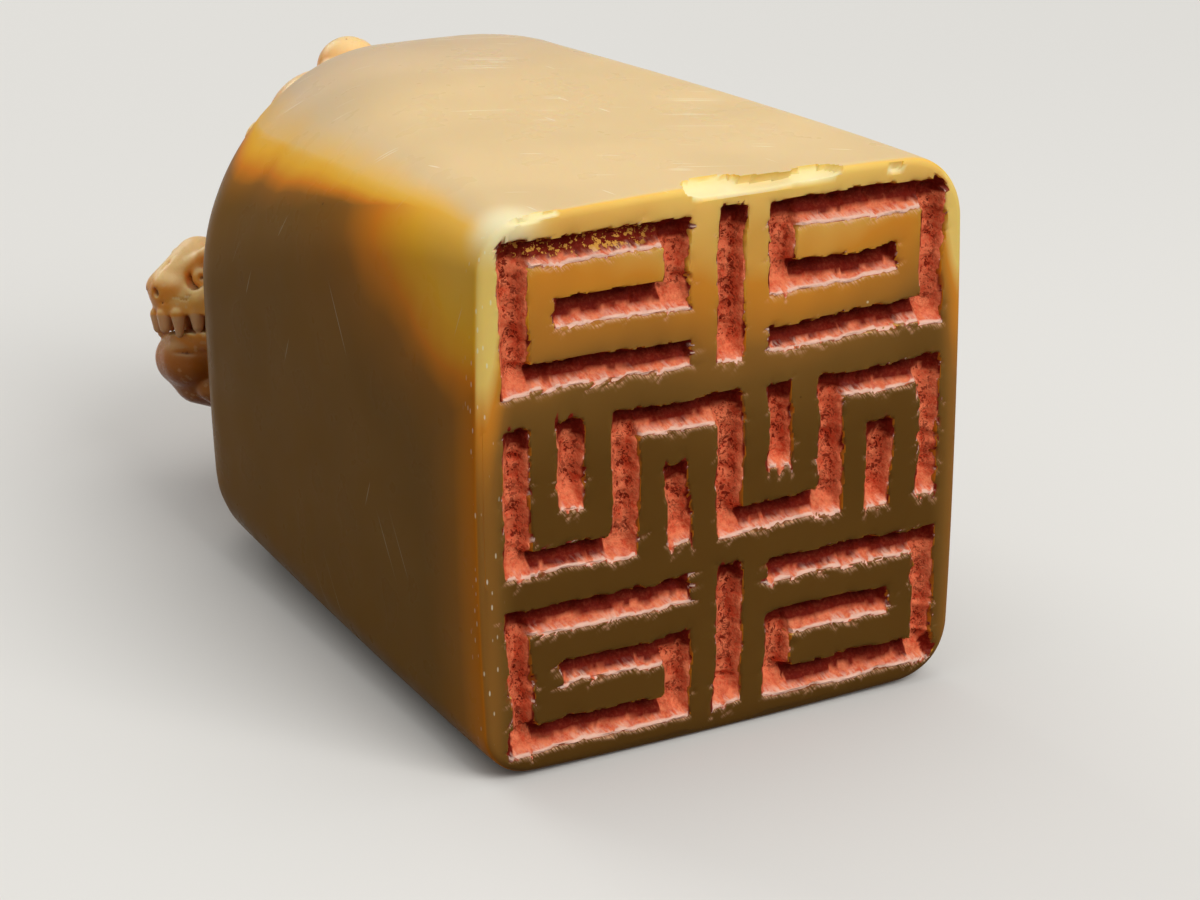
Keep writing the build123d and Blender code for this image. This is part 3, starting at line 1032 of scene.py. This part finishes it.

# Finish of the beast: the same stone, orange where it is thin. It is painted paler where it faces up and
# darker where it faces down, as painted light and shade. Its lower jaw is darker, in tone and in painted
# shadow, and it is darker in the cuts and hollows and paler on the ridges
carved, tree, shader, where, _, (_, _, facing_z) = new_finish("carved_soapstone")
slow = cloud(where, 0.16, 3.0, 0.55)
small = cloud(where, 0.9, 4.0, 0.6)
colour = blend(rise(slow, 0.35, 0.65), shade(246, 156, 56), shade(255, 190, 96))
# Painted light: paler on upward-facing surfaces, as if lit from above, and darker on downward-facing ones as
# painted shade
colour = blend(rise(facing_z, 0.1, 0.9, 0.0, 0.75), colour, shade(255, 222, 160))
colour = blend(rise(facing_z, 0.0, -0.8, 0.0, 0.8), colour, shade(208, 112, 30))
colour = blend(rise(small, 0.5, 0.75, 0.0, 0.2), colour, shade(236, 192, 134))
# Lower jaw darker: its own darker tone and painted shadow
colour = paint(colour, mark_of(tree, "jaw"), 0.6, shade(140, 66, 22))
# Darker in the deep cuts and hollows, paler on the ridges, by the curvature of the carving
curvature = add_node(tree, "NewGeometry").outputs["Pointiness"]
colour = blend(rise(curvature, 0.49, 0.42, 0.0, 0.85), colour, shade(92, 48, 18))
colour = blend(rise(curvature, 0.54, 0.64, 0.0, 0.3), colour, shade(242, 200, 140))
colour = paint(colour, mark_of(tree, "tooth"), 0.75, shade(226, 178, 134))
tooled = reckon("ADD", small, reckon("MULTIPLY", cloud(where, 3.0, 2.0), 0.3))
set_inputs(shader, {
    "Base Color": colour,
    "Roughness": rise(small, 0.3, 0.7, 0.24, 0.38),
    "Normal": relief(tooled, 0.35, 0.00015),
    "Subsurface Weight": 0.3,
    "Subsurface Radius": (1.0, 0.42, 0.12),
    "Subsurface Scale": 0.0018,
    "IOR": 1.55,
    "Specular IOR Level": 0.12,
    "Coat Weight": 0.05,
    "Coat Roughness": 0.15,
})
beast.data.materials.append(carved)
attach(beast, "root")
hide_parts("beast_knob")

# The stage: a plain pale table under three softboxes, seen from the photograph's own place
table_half = 3.0
table_mesh = bpy.data.meshes.new("table")
table_corners = [(u * table_half, v * table_half, 0) for u, v in ((-1, -1), (1, -1), (1, 1), (-1, 1))]
table_mesh.from_pydata(table_corners, [], [(0, 1, 2, 3)])
table = add_object("table", table_mesh)
table_finish, tree, shader, where, *_ = new_finish("pale_table")
path = add_node(tree, "LightPath")
seen = reckon("MAXIMUM", path.outputs["Is Camera Ray"], path.outputs["Is Glossy Ray"])
seen = reckon("MAXIMUM", seen, path.outputs["Is Transmission Ray"])
table_colour = blend(seen, shade(96, 94, 90), shade(228, 226, 221))
set_inputs(shader, {"Base Color": table_colour, "Roughness": 0.9, "Specular IOR Level": 0.0})
middle_distance = reckon_places("LENGTH", where)["Value"]
far_off = reckon("MULTIPLY", rise(middle_distance, 60.0, 330.0), seen)
glow = add_node(tree, "Emission", {"Color": shade(228, 226, 221), "Strength": 1.0})
lit = wire("MixShader", {0: far_off, 1: shader.outputs[0], 2: glow.outputs[0]})
set_inputs(tree.nodes["Material Output"], {"Surface": lit.outputs[0]})
table_mesh.materials.append(table_finish)

world = bpy.data.worlds.new("studio")
bpy.context.scene.world = world
world.use_nodes = True
tree = world.node_tree
path = add_node(tree, "LightPath")
seen = reckon("MAXIMUM", path.outputs["Is Camera Ray"], path.outputs["Is Transmission Ray"])
sky = blend(seen, (0.36, 0.36, 0.36, 1), shade(228, 226, 221))
set_inputs(tree.nodes["Background"], {"Color": sky})

for name, place, aim, size, power in (
    ("overhead_softbox", (0.03, 0.03, 0.42), (0, 0, 0.02), 0.42, 0.5),
    ("front_softbox", (0.10, -0.40, 0.36), (0, -0.02, 0.015), 0.30, 1.7),
    ("rear_softbox", (-0.10, 0.45, 0.28), (0, 0.01, 0.02), 0.30, 0.7),
):
    lamp = bpy.data.lights.new(name, "AREA")
    lamp.shape = "SQUARE"
    lamp.size = size
    lamp.energy = power
    holder = add_object(name, lamp)
    holder.location = place
    holder.rotation_mode = "QUATERNION"
    holder.rotation_quaternion = (Vector(aim) - Vector(place)).to_track_quat("-Z", "Y")

eye = Vector((-75.6245, -151.5797, 69.4531)) * mm
heading, tilt, roll = 0.4985354, 0.3508584, -0.0071027
forward = Vector((math.sin(heading) * math.cos(tilt), math.cos(heading) * math.cos(tilt), -math.sin(tilt)))
level_right = forward.cross(Vector((0, 0, 1))).normalized()
level_up = level_right.cross(forward)
right = level_right * math.cos(roll) + level_up * math.sin(roll)
up = level_up * math.cos(roll) - level_right * math.sin(roll)
camera = bpy.data.cameras.new("camera")
camera.lens = 90
camera.sensor_width = 36
camera.clip_start = 0.005
camera.clip_end = 20
viewpoint = add_object("camera", camera)
viewpoint.matrix_world = Matrix.Translation(eye) @ Matrix((right, up, -forward)).transposed().to_4x4()
bpy.context.scene.camera = viewpoint
bpy.context.scene.view_settings.view_transform = "Standard"
